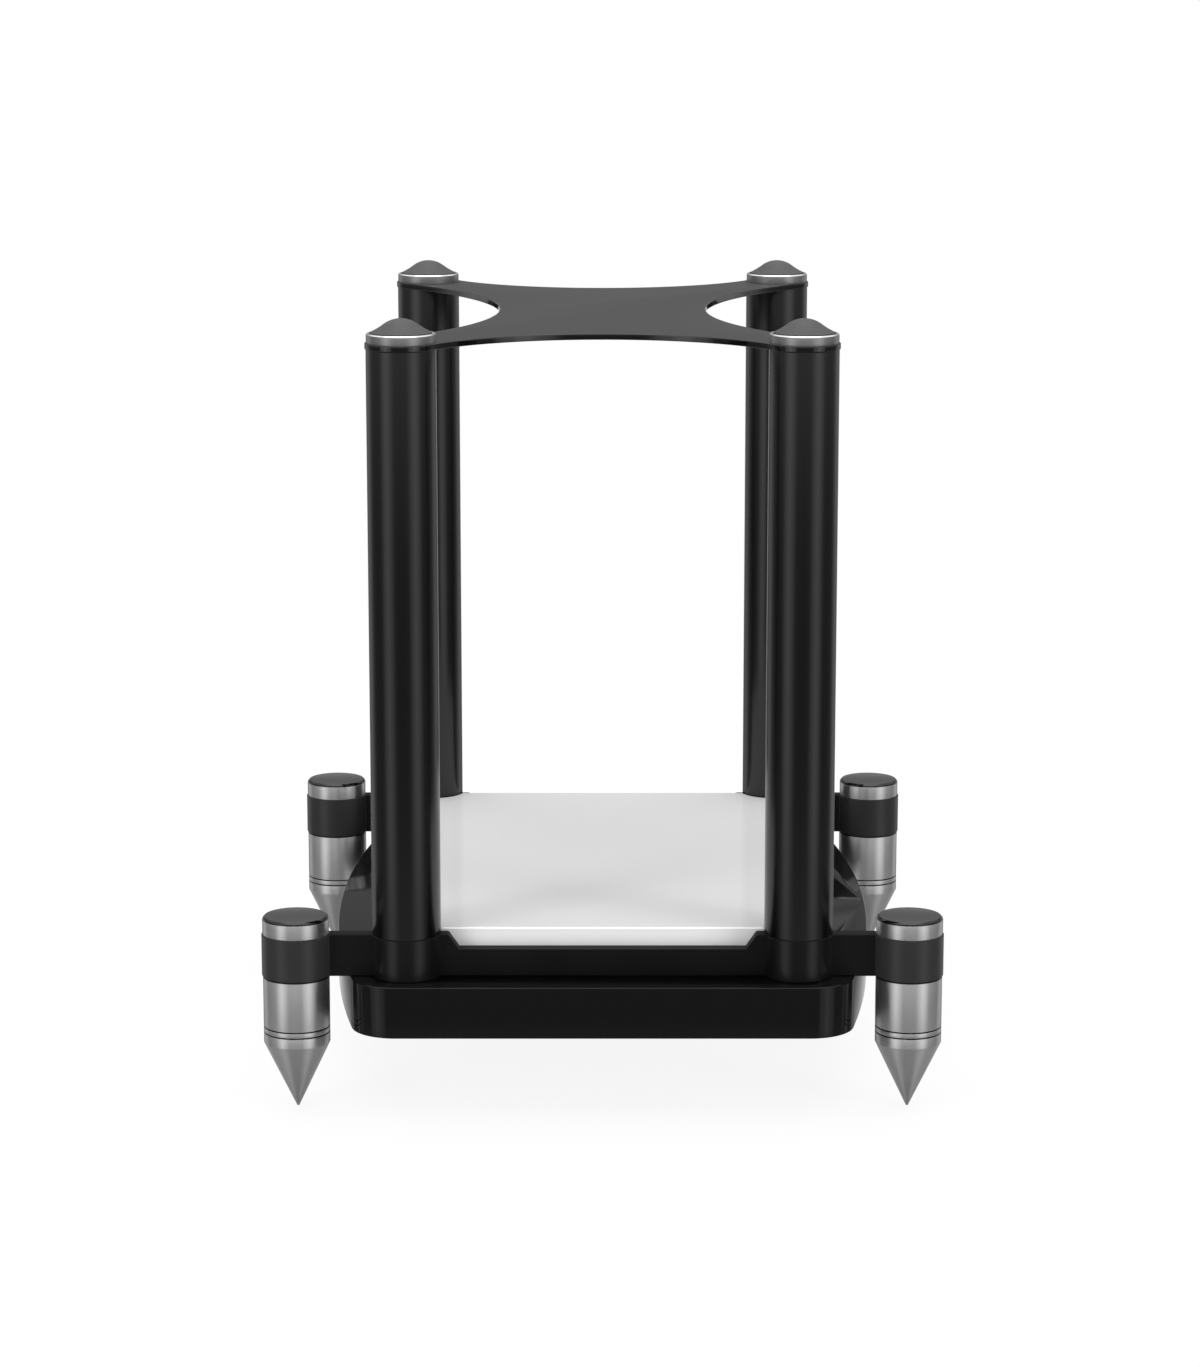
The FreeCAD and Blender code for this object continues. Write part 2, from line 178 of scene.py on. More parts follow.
class StandColours(bpy.types.PropertyGroup):
    """Colours of the finishes."""

    def shade(label, note, default):
        return bpy.props.FloatVectorProperty(
            name=label, description=note, default=default, size=3, min=0, max=1, subtype="COLOR")

    satin_black: shade("Satin black", "Columns", (0.0015, 0.0015, 0.0016))
    bar_black: shade("Bar black", "Outrigger bars and their bosses", (0.004, 0.004, 0.0042))
    plate_black: shade("Plate black", "Face of the top plate", (0.020, 0.020, 0.021))
    lacquer: shade("Lacquer", "Plinth and the plate's edge", (0.0045, 0.0045, 0.0047))
    # the caps' level tops take this dark grey as a painted reflection of the sky; their bevel and
    # sides take a near black
    disc_black: shade("Disc black", "Caps of the feet", (0.0585, 0.0585, 0.0611))
    slab_white: shade("Slab", "Pale slab", (0.75, 0.75, 0.755))
    aluminium: shade("Aluminium", "Spikes, rings and cups", (0.60, 0.60, 0.605))
    rubber: shade("Rubber", "Pads", (0.046, 0.046, 0.0475))
    brass: shade("Brass", "Bushes in the bosses", (0.62, 0.43, 0.18))
    steel: shade("Steel", "Studs and screws", (0.48, 0.48, 0.49))

    del shade


class StageSettings(bpy.types.PropertyGroup):
    """The camera's place and the level of the light."""

    camera_distance: bpy.props.FloatProperty(
        name="Camera distance", description="From the stand's middle to the camera",
        default=2.652, min=0, unit="LENGTH")
    camera_height: bpy.props.FloatProperty(
        name="Camera height", description="Height of the camera above the floor",
        default=0.7748, min=0, unit="LENGTH")
    camera_dip: bpy.props.FloatProperty(
        name="Camera dip", description="How far the camera looks down",
        default=math.radians(11.383), subtype="ANGLE")
    camera_lens: bpy.props.FloatProperty(
        name="Focal length", description="Focal length in millimetres on a 36 mm frame",
        default=102.92, min=1)
    camera_shift: bpy.props.FloatProperty(
        name="Sideways shift", description="Share of the frame's height",
        default=-0.0019)
    panel_glow: bpy.props.FloatProperty(
        name="Panel glow", description="Brightness of the two tall light panels",
        default=6.0, min=0)
    ceiling_glow: bpy.props.FloatProperty(
        name="Ceiling glow", description="Brightness of the panel overhead",
        default=2.3, min=0)
    room_glow: bpy.props.FloatProperty(
        name="Room glow", description="Brightness of the dim room in reflections",
        default=0.15, min=0)
    band_glow: bpy.props.FloatProperty(
        name="Band glow", description="Brightness of the pale bands in reflections",
        default=0.88, min=0)
    ambient: bpy.props.FloatProperty(
        name="Ambient", description="Level of the even light from all round",
        default=0.5, min=0)


# ---------------------------------------------------------------- node trees

class Wire:
    """The output of a node, on which arithmetic adds Math nodes."""

    def __init__(self, tree, socket):
        self.tree = tree
        self.socket = socket

    def math(self, operation, *values):
        """A Math node on this value and any others."""
        inputs = dict(enumerate((self,) + values))
        return self.tree.add("ShaderNodeMath", {"operation": operation}, inputs)

    def __add__(self, other):
        return self.math("ADD", other)

    __radd__ = __add__

    def __mul__(self, other):
        return self.math("MULTIPLY", other)

    __rmul__ = __mul__

    def __sub__(self, other):
        return self.math("SUBTRACT", other)

    def __rsub__(self, other):
        return self.tree.add("ShaderNodeMath", {"operation": "SUBTRACT"}, {0: other, 1: self})

    def __truediv__(self, other):
        return self.math("DIVIDE", other)

    def __pow__(self, other):
        return self.math("POWER", other)

    def __abs__(self):
        return self.math("ABSOLUTE")

    def step(self, low, high):
        """Runs smoothly from 0 at low to 1 at high."""
        return self.tree.add(
            "ShaderNodeMapRange", {"interpolation_type": "SMOOTHSTEP"},
            {"Value": self, "From Min": low, "From Max": high})


class Tree:
    """The node tree of a material or of the world, while it is being made."""

    def __init__(self, owner):
        owner.use_nodes = True
        self.nodes = owner.node_tree.nodes
        self.links = owner.node_tree.links
        self.nodes.clear()

    def add(self, kind, settings, inputs, output=0):
        """A node with its settings made, then its sockets set or linked."""
        node = self.nodes.new(kind)
        for name, value in settings.items():
            setattr(node, name, value)
        for name, value in inputs.items():
            if isinstance(value, Wire):
                self.links.new(value.socket, node.inputs[name])
            else:
                node.inputs[name].default_value = value
        return Wire(self, node.outputs[output])

    def position(self):
        """Place on the piece, in metres."""
        return self.add("ShaderNodeTexCoord", {}, {}, "Object")

    def parts(self, vector):
        """The three numbers of a vector."""
        first = self.add("ShaderNodeSeparateXYZ", {}, {"Vector": vector})
        return [Wire(self, socket) for socket in first.socket.node.outputs]

    def upward(self):
        """How far the surface faces up: 1 on a level top, 0 on an upright side."""
        return self.parts(self.add("ShaderNodeTexCoord", {}, {}, "Normal"))[2]

    def rays(self, *names):
        """What the Light Path node says of a ray, by name."""
        outputs = self.add("ShaderNodeLightPath", {}, {}).socket.node.outputs
        return [Wire(self, outputs[name]) for name in names]

    def join(self, x, y, z):
        """A vector of three numbers."""
        return self.add("ShaderNodeCombineXYZ", {}, {"X": x, "Y": y, "Z": z})

    def noise(self, vector, scale, detail=2.0, roughness=0.5):
        """Soft noise about 0.5."""
        return self.add(
            "ShaderNodeTexNoise", {},
            {"Vector": vector, "Scale": scale, "Detail": detail, "Roughness": roughness})

    def mix(self, factor, first, second):
        """A colour between two colours."""
        return self.add(
            "ShaderNodeMix", {"data_type": "RGBA"},
            {0: factor, 6: colour(first), 7: colour(second)}, 2)

    def bump(self, height, strength, distance):
        """A normal that follows a height in metres."""
        return self.add(
            "ShaderNodeBump", {}, {"Height": height, "Strength": strength, "Distance": distance})

    def surface(self, shader, output="ShaderNodeOutputMaterial"):
        """Ends the tree in a shader."""
        node = self.nodes.new(output)
        self.links.new(shader.socket, node.inputs["Surface"])


def colour(value):
    """A colour socket's value, from three numbers or a wire."""
    return value if isinstance(value, Wire) else (*value, 1.0)


def scaled(shade, factor):
    """A colour made lighter or darker."""
    return tuple(min(1.0, channel * factor) for channel in shade)


def finish(name, make):
    """A material by name, made once by a function that returns its shader's inputs."""
    material = bpy.data.materials.get(name)
    if material is None:
        material = bpy.data.materials.new(name)
        tree = Tree(material)
        tree.surface(tree.add("ShaderNodeBsdfPrincipled", {}, make(tree)))
    return material


def about_axes(tree, axis):
    """Distance, angle and height about the nearest of four upright axes."""
    x, y, z = tree.parts(tree.position())
    side = abs(x) - axis.x
    depth = abs(y) - axis.y
    distance = (side * side + depth * depth) ** 0.5
    return distance, side.math("ARCTAN2", depth), z


# ---------------------------------------------------------------- finishes

def satin_columns(tree):
    """Black anodised tube: lines drawn along it, and a little paler and glossier within about a
    millimetre of each end.
    """
    shade = bpy.context.scene.stand_colours.satin_black
    low, high = span("column_rear_right")
    x, y, z = tree.parts(tree.position())
    drawn = tree.noise(tree.join(x * 1500, y * 1500, z * 5), 1.0, 2.0, 0.6)
    cloud = tree.noise(tree.position(), 14.0, 3.0)
    ends = 1 - (z - low.z).step(0.2 * MM, 1.2 * MM) * (high.z - z).step(0.2 * MM, 1.2 * MM)
    return {
        "Base Color": tree.mix(drawn * 0.6 + ends * 0.4, scaled(shade, 0.7), scaled(shade, 1.6)),
        "Roughness": 0.20 + drawn * 0.05 + cloud * 0.03 - ends * 0.04,
        "Normal": tree.bump(drawn, 0.25, 0.01 * MM),
        "IOR": 1.5,
    }


def satin_bars(tree):
    """Black coating on the bars: fine orange peel, paler bosses over the feet, matt tops."""
    shade = bpy.context.scene.stand_colours.bar_black
    grain = tree.noise(tree.position(), 900.0, 2.0)
    cloud = tree.noise(tree.position(), 22.0, 3.0)
    distance = about_axes(tree, FOOT_AXIS)[0]
    boss = 1 - distance.step(BOSS_REACH, BOSS_REACH + 0.6 * MM)
    top = tree.upward().step(0.2, 0.7)
    return {
        "Base Color": tree.mix(boss * 0.8 + cloud * 0.2, scaled(shade, 0.7), scaled(shade, 6.0)),
        "Roughness": 0.20 + cloud * 0.08 + boss * 0.06 + top * 0.55,
        "Normal": tree.bump(grain, 0.2, 0.01 * MM),
        "IOR": 1.33,
    }


def plate_face(tree):
    """Satin face of the top plate, with the fine grain of a bead-blasted sheet."""
    shade = bpy.context.scene.stand_colours.plate_black
    grain = tree.noise(tree.position(), 2400.0, 2.0, 0.6)
    cloud = tree.noise(tree.position(), 9.0, 3.0)
    return {
        "Base Color": tree.mix(grain * 0.5 + cloud * 0.5, scaled(shade, 0.75), scaled(shade, 1.3)),
        "Roughness": 0.40 + grain * 0.06 + cloud * 0.06,
        "Normal": tree.bump(grain, 0.3, 0.01 * MM),
        "IOR": 1.4,
    }


def plate_edge(tree):
    """Polished edge of the top plate, with faint lines of the cutter along it."""
    shade = bpy.context.scene.stand_colours.lacquer
    x, y, z = tree.parts(tree.position())
    lines = tree.noise(tree.join(x * 8, y * 8, z * 4000), 1.0, 2.0)
    return {
        "Base Color": tree.mix(lines, scaled(shade, 0.2), scaled(shade, 0.7)),
        "Roughness": 0.06 + lines * 0.05,
        "Normal": tree.bump(lines, 0.15, 0.005 * MM),
        "IOR": 1.6,
    }


def black_lacquer(tree):
    """Polished lacquer: a long faint ripple, and fine wiping marks in its gloss."""
    shade = bpy.context.scene.stand_colours.lacquer
    ripple = tree.noise(tree.position(), 60.0, 2.0)
    marks = tree.noise(tree.position(), 420.0, 5.0, 0.7)
    return {
        "Base Color": tree.mix(marks, scaled(shade, 0.8), scaled(shade, 1.4)),
        "Roughness": 0.03 + marks * 0.05,
        "Normal": tree.bump(ripple, 0.12, 0.04 * MM),
        "IOR": 1.3,
    }


def gloss_discs(tree):
    """Gloss black caps of the feet: faint rings in the top, which is painted dark grey as a
    painted reflection of the sky, and a near-black polished bevel.
    """
    shade = bpy.context.scene.stand_colours.disc_black
    distance, angle, z = about_axes(tree, FOOT_AXIS)
    rings = tree.noise(tree.join(distance * 3000, angle * 0.5, z * 3000), 1.0, 2.0)
    # the level top is painted paler than the bevel as a painted reflection of the sky, and is made
    # rougher
    flat = tree.upward().step(0.85, 0.97)
    return {
        "Base Color": tree.mix(flat * (0.4 + rings * 0.6), scaled(shade, 0.023), shade),
        "Roughness": 0.04 + flat * (0.08 + rings * 0.08),
        "Normal": tree.bump(rings, 0.15, 0.005 * MM),
        "IOR": 1.5,
    }


def turned_aluminium(tree, about, shade, roughness):
    """Satin turned aluminium: fine rings left by the lathe, and a little clouding."""
    distance, angle, z = about
    rings = tree.noise(tree.join(distance * 3200, angle * 0.4, z * 3200), 1.0, 3.0, 0.65)
    cloud = tree.noise(tree.position(), 45.0, 3.0)
    return {
        "Base Color": tree.mix(
            rings * 0.7 + cloud * 0.3, scaled(shade, 0.88), scaled(shade, 1.12)),
        "Metallic": 0.94,
        "Roughness": roughness + rings * 0.06 + cloud * 0.04,
        "Normal": tree.bump(rings, 0.3, 0.012 * MM),
        "Anisotropic": 0.95,
        "Anisotropic Rotation": 0.25,
    }


def foot_aluminium(tree):
    """Turned aluminium about the feet, with black grooves, and a painted shadow of the gap under
    the boss along the spike's top.
    """
    sizes = bpy.context.scene.stand_sizes
    shade = bpy.context.scene.stand_colours.aluminium
    low, high = span("spike_rear_right")
    body = radius_of("spike_rear_right")
    first = low.z + sizes.cone_height + sizes.groove_rise
    last = first + sizes.groove_pitch + sizes.groove_width
    about = about_axes(tree, FOOT_AXIS)
    distance, _, z = about
    grooves = z.step(first - 0.1 * MM, first) * (1 - z.step(last, last + 0.1 * MM))
    sunk = 1 - distance.step(body - 0.45 * MM, body - 0.2 * MM)
    # a band round the spike's top, under the boss, painted near black as a painted shadow of the
    # gap
    end = z.step(high.z - 1.1 * MM, high.z - 0.9 * MM)
    painted_gap_shadow = end * (1 - z.step(high.z + 0.1 * MM, high.z + 0.3 * MM))
    grooves_and_painted_gap_shadow = (grooves * sunk).math("MAXIMUM", painted_gap_shadow)
    inputs = turned_aluminium(tree, about, scaled(shade, 0.90), 0.31)
    # the groove floors are darkened, and the band under the boss is painted near black as a
    # painted gap shadow
    inputs["Base Color"] = tree.mix(grooves_and_painted_gap_shadow, inputs["Base Color"], scaled(shade, 0.03))
    return inputs


def cup_aluminium(tree):
    """Turned aluminium about the columns, with a polished rim."""
    shade = bpy.context.scene.stand_colours.aluminium
    rim = span("pad_cup_rear_right")[1].z - bpy.context.scene.stand_sizes.cup_bevel
    about = about_axes(tree, COLUMN_AXIS)
    z = about[2]
    polished = z.step(rim - 0.05 * MM, rim + 0.1 * MM)
    inputs = turned_aluminium(tree, about, scaled(shade, 0.52), 0.38)
    inputs["Base Color"] = tree.mix(polished, inputs["Base Color"], scaled(shade, 1.6))
    inputs["Roughness"] = inputs["Roughness"] - polished * 0.26
    return inputs


def moulded_rubber(tree):
    """Moulded rubber: a fine stipple, a faint mottle painted paler towards the crown as painted
    light on the top, and a band painted near black at the cup as a painted shadow of the gap.
    """
    shade = bpy.context.scene.stand_colours.rubber
    low, high = span("rubber_pad_rear_right")
    z = tree.parts(tree.position())[2]
    stipple = tree.noise(tree.position(), 3200.0, 3.0, 0.7)
    # a mottle that is painted paler towards the crown, as painted light on the top
    mottle_and_painted_crown_light = tree.noise(tree.position(), 260.0, 4.0, 0.6) * (z - low.z).step(0, high.z - low.z)
    cup_top = span("pad_cup_rear_right")[1].z
    # at the cup the rubber is painted near black, as a painted shadow of the gap between pad and
    # cup
    clear = z.step(cup_top + 0.2 * MM, cup_top + 0.7 * MM)
    skin = tree.mix(mottle_and_painted_crown_light * 0.6 + stipple * 0.4, scaled(shade, 0.75), scaled(shade, 1.5))
    return {
        "Base Color": tree.mix(clear, scaled(shade, 0.1), skin),
        "Roughness": 0.46 + stipple * 0.16,
        "Normal": tree.bump(stipple, 0.5, 0.03 * MM),
        "IOR": 1.45,
    }


def pale_gloss(tree):
    """Pale polished slab: a barely uneven white under a clear gloss."""
    shade = bpy.context.scene.stand_colours.slab_white
    cloud = tree.noise(tree.position(), 6.0, 4.0)
    marks = tree.noise(tree.position(), 500.0, 4.0, 0.7)
    return {
        "Base Color": tree.mix(cloud, scaled(shade, 0.99), scaled(shade, 1.01)),
        "Roughness": 0.05 + marks * 0.03,
        "Normal": tree.bump(cloud, 0.02, 0.02 * MM),
        "IOR": 1.5,
    }


def plain_metal(shade, roughness):
    """A plain machined metal, for what the stand hides."""
    def make(tree):
        grain = tree.noise(tree.position(), 1800.0, 3.0, 0.6)
        return {
            "Base Color": tree.mix(grain, scaled(shade, 0.85), scaled(shade, 1.1)),
            "Metallic": 1.0,
            "Roughness": roughness + grain * 0.12,
            "Normal": tree.bump(grain, 0.2, 0.01 * MM),
        }
    return make


# ---------------------------------------------------------------- shaping

def turned(profile, closed=False):
    """A solid of revolution about Z from (distance, height) points."""
    steps = bpy.context.scene.stand_sizes.round_steps
    shape = bmesh.new()
    points = [shape.verts.new((distance, 0, height)) for distance, height in profile]
    ends = points[1:] + points[:1] if closed else points[1:]
    edges = [shape.edges.new(pair) for pair in zip(points, ends)]
    bmesh.ops.spin(
        shape, geom=points + edges, cent=(0, 0, 0), axis=(0, 0, 1), dvec=(0, 0, 0),
        angle=math.tau, steps=steps, use_merge=True)
    bmesh.ops.remove_doubles(shape, verts=shape.verts, dist=0.1 * MERGE)
    bmesh.ops.recalc_face_normals(shape, faces=shape.faces)
    return shape


def round_edges(shape, size, segments=3, least_turn=math.radians(25)):
    """Rounds the edges where a shape turns sharply."""
    sharp = [
        edge for edge in shape.edges
        if len(edge.link_faces) == 2 and edge.calc_face_angle() > least_turn
    ]
    bmesh.ops.bevel(
        shape, geom=sharp, offset=size, offset_type="OFFSET", segments=segments, profile=0.5,
        affect="EDGES", clamp_overlap=True, material=-1)


def arc_on(shape, start, centre, angle, steps):
    """Carries a chain of edges round a centre from a vertex, and gives its last vertex."""
    result = bmesh.ops.spin(
        shape, geom=[start], cent=centre, axis=(0, 0, 1), dvec=(0, 0, 0), angle=angle, steps=steps)
    return next(item for item in result["geom_last"] if isinstance(item, bmesh.types.BMVert))


def heading(start, end):
    """The direction from one point to another, as an angle from +X."""
    return math.atan2(end.y - start.y, end.x - start.x)


def whole_outline(shape):
    """Mirrors a quarter outline to all four sides and fills it."""
    for axis in ("X", "Y"):
        bmesh.ops.mirror(
            shape, geom=shape.verts[:] + shape.edges[:], matrix=Matrix.Identity(4),
            merge_dist=MERGE, axis=axis)
    bmesh.ops.remove_doubles(shape, verts=shape.verts, dist=MERGE)
    bmesh.ops.edgeloop_fill(shape, edges=shape.edges)


def thickened(shape, thickness):
    """Gives a filled outline its thickness, upwards."""
    risen = bmesh.ops.extrude_face_region(shape, geom=shape.faces[:])
    verts = [item for item in risen["geom"] if isinstance(item, bmesh.types.BMVert)]
    bmesh.ops.translate(shape, vec=(0, 0, thickness), verts=verts)
    bmesh.ops.recalc_face_normals(shape, faces=shape.faces)


def placed(shape, place):
    """A copy of a shape, moved in plan."""
    copy = shape.copy()
    bmesh.ops.translate(copy, vec=place, verts=copy.verts)
    return copy


def piece(name, shape, materials, body, node):
    """Makes an object of a shape, and puts it in a node's stead."""
    mesh = bpy.data.meshes.new(name)
    shape.to_mesh(mesh)
    shape.free()
    mesh.shade_smooth()
    mesh.set_sharp_from_angle(angle=SMOOTH_TURN)
    for material in materials:
        mesh.materials.append(material)
    made = bpy.data.objects.new(name, mesh)
    bpy.context.scene.collection.objects.link(made)
    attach(made, body)
    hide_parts(node)
    return made


def on_each_corner(name, shape, material, body):
    """One copy of a turned shape on each of a node's four axes."""
    for corner in CORNERS:
        node = name + "_" + corner
        piece("dressed_" + node, placed(shape, axis_of(node)), [material], body(corner), node)
    shape.free()


def on_frame(corner):
    """The body of what the screws hold together."""
    return "frame"


# ---------------------------------------------------------------- pieces

class STAND_OT_columns(bpy.types.Operator):
    """Makes the four column tubes"""

    bl_idname = "stand.columns"
    bl_label = "Columns"

    def execute(self, context):
        sizes = context.scene.stand_sizes
        low, high = span("column_rear_right")
        outer = radius_of("column_rear_right")
        inner = outer - sizes.column_wall
        tube = turned(
            [(inner, low.z), (outer, low.z), (outer, high.z), (inner, high.z)], closed=True)
        round_edges(tube, 2 * sizes.edge_softness)
        on_each_corner("column", tube, finish("satin_columns", satin_columns),
                       on_frame)
        return {"FINISHED"}


class STAND_OT_pad_cups(bpy.types.Operator):
    """Makes the metal cups that hold the rubber pads"""

    bl_idname = "stand.pad_cups"
    bl_label = "Pad cups"

    def execute(self, context):
        sizes = context.scene.stand_sizes
        low, high = span("pad_cup_rear_right")
        outer = radius_of("pad_cup_rear_right")
        inner = radius_of("rubber_pad_rear_right") + PAD_PLAY
        floor = low.z + sizes.cup_floor
        cup = turned([
            (0, low.z), (outer, low.z), (outer, high.z - sizes.cup_bevel),
            (outer - sizes.cup_bevel, high.z), (inner, high.z), (inner, floor), (0, floor)])
        round_edges(cup, 0.4 * sizes.edge_softness, segments=2)
        on_each_corner("pad_cup", cup, finish("cup_aluminium", cup_aluminium),
                       on_frame)
        return {"FINISHED"}


class STAND_OT_rubber_pads(bpy.types.Operator):
    """Makes the bell-shaped rubber pads"""

    bl_idname = "stand.rubber_pads"
    bl_label = "Rubber pads"

    def execute(self, context):
        sizes = context.scene.stand_sizes
        low, high = span("rubber_pad_rear_right")
        cup_top = span("pad_cup_rear_right")[1].z
        rim = radius_of("rubber_pad_rear_right")
        rim_top = cup_top + sizes.pad_rim_height
        radius, angle = sizes.crown_radius, sizes.crown_angle
        crown_steps, flare_steps = 12, 16
        crown = [
            (radius * math.sin(turn), high.z - radius + radius * math.cos(turn))
            for turn in (angle * i / crown_steps for i in range(crown_steps + 1))
        ]
        # the flare leaves the crown on its tangent and sweeps out to the rim
        start = Vector(crown[-1])
        end = Vector((rim, rim_top))
        knee = start + Vector((math.cos(angle), -math.sin(angle))) * (end - start).length / 2
        flare = [
            tuple(start * (1 - t) ** 2 + knee * 2 * t * (1 - t) + end * t ** 2)
            for t in (i / flare_steps for i in range(1, flare_steps + 1))
        ]
        pad = turned(crown + flare + [(rim, low.z), (0, low.z)])
        round_edges(pad, 0.4 * sizes.edge_softness)
        on_each_corner("rubber_pad", pad, finish("moulded_rubber", moulded_rubber),
                       on_frame)
        return {"FINISHED"}


class STAND_OT_spikes(bpy.types.Operator):
    """Makes the grooved spikes of the feet"""

    bl_idname = "stand.spikes"
    bl_label = "Spikes"

    def execute(self, context):
        sizes = context.scene.stand_sizes
        low, high = span("spike_rear_right")
        body = radius_of("spike_rear_right")
        hole = radius_of("stud_rear_right") + THREAD_PLAY
        hole_floor = span("stud_rear_right")[0].z - THREAD_PLAY
        cone_top = low.z + sizes.cone_height
        profile = [(0, low.z), (sizes.tip_width / 2, low.z), (body, cone_top)]
        for groove in range(2):
            start = cone_top + sizes.groove_rise + groove * sizes.groove_pitch
            floor = body - sizes.groove_depth
            profile += [
                (body, start), (floor, start), (floor, start + sizes.groove_width),
                (body, start + sizes.groove_width)]
        profile += [(body, high.z), (hole, high.z), (hole, hole_floor), (0, hole_floor)]
        spike = turned(profile)
        round_edges(spike, 0.6 * sizes.edge_softness, segments=2, least_turn=math.radians(15))
        on_each_corner("spike", spike, finish("foot_aluminium", foot_aluminium),
                       lambda corner: "foot_spike_" + corner)
        return {"FINISHED"}


class STAND_OT_studs(bpy.types.Operator):
    """Makes the threaded studs of the feet"""

    bl_idname = "stand.studs"
    bl_label = "Studs"

    def execute(self, context):
        sizes = context.scene.stand_sizes
        low, high = span("stud_rear_right")
        crest = radius_of("stud_rear_right")
        root = crest - sizes.thread_depth
        pitch = sizes.thread_pitch
        steps = 48
        turns = math.ceil((high.z - low.z) / pitch) + 2  # the spare turns are cut off below
        rise, fall = 0.44 * pitch, 0.56 * pitch  # where the crest begins and ends
        stud = bmesh.new()
        points = []
        for turn in range(turns):
            base = low.z + (turn - 1.5) * pitch
            points += [
                stud.verts.new((root, 0, base)), stud.verts.new((crest, 0, base + rise)),
                stud.verts.new((crest, 0, base + fall))]
        edges = [stud.edges.new(pair) for pair in zip(points, points[1:])]
        bmesh.ops.spin(
            stud, geom=points + edges, cent=(0, 0, 0), axis=(0, 0, 1), dvec=(0, 0, pitch / steps),
            angle=math.tau, steps=steps)
        bmesh.ops.remove_doubles(stud, verts=stud.verts, dist=MERGE)
        for height, normal in ((low.z, (0, 0, -1)), (high.z, (0, 0, 1))):
            cut = bmesh.ops.bisect_plane(
                stud, geom=stud.verts[:] + stud.edges[:] + stud.faces[:], dist=0.01 * MERGE,
                plane_co=(0, 0, height), plane_no=normal, clear_outer=True)
            rim = [item for item in cut["geom_cut"] if isinstance(item, bmesh.types.BMEdge)]
            bmesh.ops.edgeloop_fill(stud, edges=rim)
        bmesh.ops.recalc_face_normals(stud, faces=stud.faces)
        steel = plain_metal(context.scene.stand_colours.steel, 0.25)
        on_each_corner("stud", stud, finish("stud_steel", steel),
                       lambda corner: "foot_stud_" + corner)
        return {"FINISHED"}


class STAND_OT_lock_rings(bpy.types.Operator):
    """Makes the ring nuts and gloss discs on top of the feet"""

    bl_idname = "stand.lock_rings"
    bl_label = "Lock rings and discs"

    def execute(self, context):
        sizes = context.scene.stand_sizes
        low, high = span("lock_ring_rear_right")
        outer = radius_of("lock_ring_rear_right")
        bore = radius_of("stud_rear_right") + THREAD_PLAY
        disc_low, disc_high = span("cap_disc_rear_right")
        recess = sizes.spigot_width / 2
        ring = turned([
            (bore, low.z), (outer, low.z), (outer, high.z), (recess, high.z),
            (recess, disc_low.z), (bore, disc_low.z)], closed=True)
        round_edges(ring, sizes.edge_softness)
        on_each_corner("lock_ring", ring, finish("foot_aluminium", foot_aluminium),
                       lambda corner: "foot_lock_" + corner)
        rim = radius_of("cap_disc_rear_right")
        spigot = recess - SPIGOT_PLAY
        disc = turned([
            (0, disc_low.z), (spigot, disc_low.z), (spigot, high.z), (rim, high.z),
            (rim, disc_high.z - sizes.disc_bevel), (rim - sizes.disc_bevel, disc_high.z),
            (0, disc_high.z)])
        round_edges(disc, 0.8 * sizes.edge_softness)
        on_each_corner("cap_disc", disc, finish("gloss_discs", gloss_discs),
                       lambda corner: "foot_lock_" + corner)
        return {"FINISHED"}


class STAND_OT_top_plate(bpy.types.Operator):
    """Makes the waisted top plate"""

    bl_idname = "stand.top_plate"
    bl_label = "Top plate"

    def execute(self, context):
        sizes = context.scene.stand_sizes
        low, high = span("top_plate")
        disc = Vector((COLUMN_AXIS.x, -COLUMN_AXIS.y, 0))
        end = high.x - disc.x
        half_x = sizes.plate_waist_width / 2
        half_y = sizes.plate_waist_depth / 2

        def bow(along, across, waist):
            return (across ** 2 + (along - waist) ** 2 - end ** 2) / (2 * (end + along - waist))

        front = Vector((0, -half_y - bow(COLUMN_AXIS.y, COLUMN_AXIS.x, half_y), 0))
        side = Vector((half_x + bow(COLUMN_AXIS.x, COLUMN_AXIS.y, half_x), 0, 0))
        plate = bmesh.new()
        start = plate.verts.new((0, -half_y, 0))
        leave = arc_on(plate, start, front, heading(front, disc) - math.pi / 2, steps=40)
        turn = (heading(disc, side) - heading(disc, front)) % math.tau
        arrive = arc_on(plate, leave, disc, turn, steps=64)
        arc_on(plate, arrive, side, -(heading(side, disc) % math.tau - math.pi), steps=56)
        whole_outline(plate)
        thickened(plate, high.z - low.z)
        bmesh.ops.translate(plate, vec=(0, 0, low.z), verts=plate.verts)
        round_edges(plate, sizes.plate_edge, segments=4, least_turn=math.radians(45))
        for face in plate.faces:
            face.material_index = 0 if abs(face.normal.z) > LEVEL else 1
        piece("dressed_top_plate", plate,
              [finish("plate_face", plate_face), finish("plate_edge", plate_edge)],
              "frame", "top_plate")
        return {"FINISHED"}


